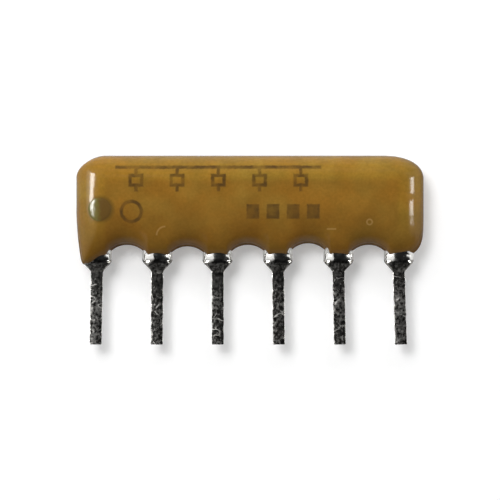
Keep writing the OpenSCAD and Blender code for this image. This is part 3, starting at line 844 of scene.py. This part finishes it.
def tin_solder():
    """Solder that froze around the lead: bright, smooth and slightly lumpy, and at its foot painted a flecked
    charcoal, as painted shade for the dark surroundings it mirrors, as the pin is."""
    material, tree, place = new_material("tin_solder")
    grain_mm, dull_mm = 0.2, 0.25
    grain = add(tree, "TexNoise", {"Vector": place, "Scale": 1 / grain_mm, "Detail": 2.0}).outputs["Fac"]
    bump = add(tree, "Bump", {"Height": grain, "Strength": 0.15, "Distance": 0.015 * MM}).outputs["Normal"]
    dulled = add(tree, "TexNoise", {"Vector": place, "Scale": 1 / dull_mm, "Detail": 2.0}).outputs["Fac"]
    rough = add(tree, "MapRange", {"Value": dulled, "From Min": 0.35, "From Max": 0.7,
                                   "To Min": 0.08, "To Max": 0.24}).outputs["Result"]
    along = add(tree, "SeparateXYZ", {"Vector": place}).outputs["Y"]
    height = add(tree, "Math", {0: along, 1: SEAT_Y}, operation="SUBTRACT").outputs[0]
    raggedness = 0.25
    ragged = add(tree, "Math", {0: dulled, 1: raggedness, 2: height}, operation="MULTIPLY_ADD").outputs[0]
    foot = fade(tree, ragged, *DARK_FOOT)
    matt = fade(tree, ragged, *MATT_FOOT)
    rough = add(tree, "Math", {0: matt, 1: 0.22, 2: rough}, operation="MULTIPLY_ADD").outputs[0]
    # Painted shade: the foot is painted flecked charcoal, for the dark surroundings that it mirrors
    painted_dark_foot = two_tone(tree, fine_flecks(tree, place), 0.44, 0.66, "#45433f", "#b4b2ad")
    tone = add(tree, "Mix", {"Factor": foot, "A": linear("#d6d5d2"), "B": painted_dark_foot},
               data_type="RGBA").outputs["Result"]
    shader = add(tree, "BsdfPrincipled", {"Base Color": tone, "Metallic": 1.0, "Roughness": rough,
                                          "Normal": bump})
    add(tree, "OutputMaterial", {"Surface": shader.outputs["BSDF"]})
    return material


def inner_finish(name, dark, light, grain_mm, roughness, metallic):
    """A plain fired finish with a fine grain, for the pieces that are sealed inside the coat."""
    material, tree, place = new_material(name)
    grain = add(tree, "TexNoise", {"Vector": place, "Scale": 1 / grain_mm, "Detail": 3.0}).outputs["Fac"]
    shader = add(tree, "BsdfPrincipled", {"Base Color": two_tone(tree, grain, 0.0, 1.0, dark, light),
                                          "Roughness": roughness, "Metallic": metallic})
    add(tree, "OutputMaterial", {"Surface": shader.outputs["BSDF"]})
    return material


def dress_inner_nodes():
    """The circuit inside the coat keeps its CAD solids, each with the finish of its fired film or plate: matt
    white alumina, glassy green glaze, matt black resistor paste and dull silver paste."""
    finishes = {
        "substrate": inner_finish("sintered_alumina", "#e2dfd3", "#f3f1e8", 0.05, 0.7, 0.0),
        "glaze": inner_finish("overglaze", "#1f4a38", "#2c5e49", 0.2, 0.15, 0.0),
        "resistor": inner_finish("resistor_paste", "#161413", "#2a2725", 0.06, 0.6, 0.0),
        "common": inner_finish("silver_paste", "#9c9a93", "#c2c0b8", 0.06, 0.45, 1.0)}
    finishes["pad"] = finishes["common"]
    for name, node in frame["nodes"].items():
        finish = finishes.get(name.split("_")[0])
        if finish:
            node.data.materials.clear()
            node.data.materials.append(finish)


def white_board():
    """The floor: a matt white board. What the camera and mirror-like surfaces see of it is lifted to white,
    and its shadows stay."""
    material = bpy.data.materials.new("white_board")
    material.use_nodes = True
    tree = material.node_tree
    tree.nodes.clear()
    path = add(tree, "LightPath").outputs
    seen = path["Is Camera Ray"]
    for ray in ("Is Glossy Ray", "Is Transmission Ray"):
        seen = add(tree, "Math", {0: seen, 1: path[ray]}, operation="MAXIMUM").outputs[0]
    lift = add(tree, "Math", {0: seen, 1: FLOOR_LIFT}, operation="MULTIPLY").outputs[0]
    matt = add(tree, "BsdfDiffuse", {"Color": linear("#e0e0e0")})
    glow = add(tree, "Emission", {"Color": linear("#ffffff"), "Strength": lift})
    both = add(tree, "AddShader", {0: matt.outputs[0], 1: glow.outputs[0]})
    add(tree, "OutputMaterial", {"Surface": both.outputs[0]})
    return material


def surround():
    """The studio around the part: a pale band along the horizon, a dark ceiling above it, and a broad soft
    light beyond the part's top edge, each a smooth step of the direction's angles."""
    world = bpy.data.worlds.new("studio_surround")
    world.use_nodes = True
    tree = world.node_tree
    tree.nodes.clear()
    way = add(tree, "TexCoord").outputs["Generated"]
    rise = add(tree, "SeparateXYZ", {"Vector": way}).outputs["Z"]
    horizon = add(tree, "MapRange", {"Value": fade(tree, rise, *HORIZON_RISE), "To Min": CEILING_LEVEL,
                                     "To Max": HORIZON_LEVEL}).outputs["Result"]
    near = add(tree, "VectorMath", {0: way, 1: GLOW_TOWARDS}, operation="DOT_PRODUCT").outputs["Value"]
    glow = add(tree, "Math", {0: fade(tree, near, *GLOW_SPREAD), 1: fade(tree, rise, *GLOW_RISE)},
               operation="MULTIPLY").outputs[0]
    level = add(tree, "Math", {0: glow, 1: GLOW_LEVEL, 2: horizon}, operation="MULTIPLY_ADD").outputs[0]
    background = add(tree, "Background", {"Strength": level})
    add(tree, "OutputWorld", {"Surface": background.outputs[0]})
    return world


def softbox(name, bearing, rise, across, tall, level, mirrored):
    """A rectangular softbox aimed at the part, placed by its bearing and rise, with its sizes as angles too.
    It either lights the part or is only seen in its gloss."""
    bearing, rise = math.radians(bearing), math.radians(rise)
    away = Vector((math.cos(bearing) * math.cos(rise), math.sin(bearing) * math.cos(rise), math.sin(rise)))
    lamp = bpy.data.lights.new(name, "AREA")
    lamp.shape = "RECTANGLE"
    lamp.size = 2 * LAMP_REACH * MM * math.tan(math.radians(across / 2))
    lamp.size_y = 2 * LAMP_REACH * MM * math.tan(math.radians(tall / 2))
    lamp.energy = level * math.pi * lamp.size * lamp.size_y
    holder = bpy.data.objects.new(name, lamp)
    holder.visible_glossy = mirrored
    holder.visible_diffuse = not mirrored
    holder.location = away * LAMP_REACH * MM
    holder.rotation_euler = away.to_track_quat("Z", "Y").to_euler()
    bpy.context.scene.collection.objects.link(holder)


def camera_above():
    """A camera that looks straight down on the part, framed as wide as the photo at the pins' height."""
    camera = bpy.data.objects.new("camera", bpy.data.cameras.new("camera"))
    camera.data.sensor_width = SENSOR_WIDTH
    camera.data.lens = SENSOR_WIDTH * CAMERA_REACH / FRAME_WIDTH
    camera.data.clip_start = CLIP_NEAR * MM
    camera.data.clip_end = CLIP_FAR * MM
    camera.location = (0, 0, (MID_Z + CAMERA_REACH) * MM)
    bpy.context.scene.collection.objects.link(camera)
    bpy.context.scene.camera = camera


def floor_board():
    """A square white board just under the part."""
    half = FLOOR_WIDTH / 2 * MM
    level = -FLOOR_GAP * MM
    mesh = bpy.data.meshes.new("floor")
    mesh.from_pydata([(-half, -half, level), (half, -half, level), (half, half, level), (-half, half, level)],
                     [], [(0, 1, 2, 3)])
    mesh.materials.append(white_board())
    floor = bpy.data.objects.new("floor", mesh)
    bpy.context.scene.collection.objects.link(floor)


def studio():
    """The camera, the white floor, the soft surround and the softboxes."""
    bpy.context.scene.view_settings.view_transform = "Standard"
    camera_above()
    floor_board()
    bpy.context.scene.world = surround()
    for box in SOFTBOXES:
        softbox(*box)


def build():
    """Makes the pieces seen from outside in place of their solids, dresses the ones inside and sets up the
    studio."""
    coat, ink = epoxy_coat(), marking_ink()
    lead, solder = tinned_strip(), tin_solder()
    new_piece("dipped_coat", *coating_surface(), "coat", "coating", coat)
    new_piece("ink_dot", *dot_surface(), "ink", "pin_one_dot", ink)
    for i in range(1, PIN_COUNT + 1):
        new_piece(f"solder_collar_{i}", *solder_surface(i), "solder", f"solder_{i}", solder)
        new_piece(f"tinned_lead_{i}", *lead_surface(i), "lead", f"lead_{i}", lead)
    dress_inner_nodes()
    studio()


build()
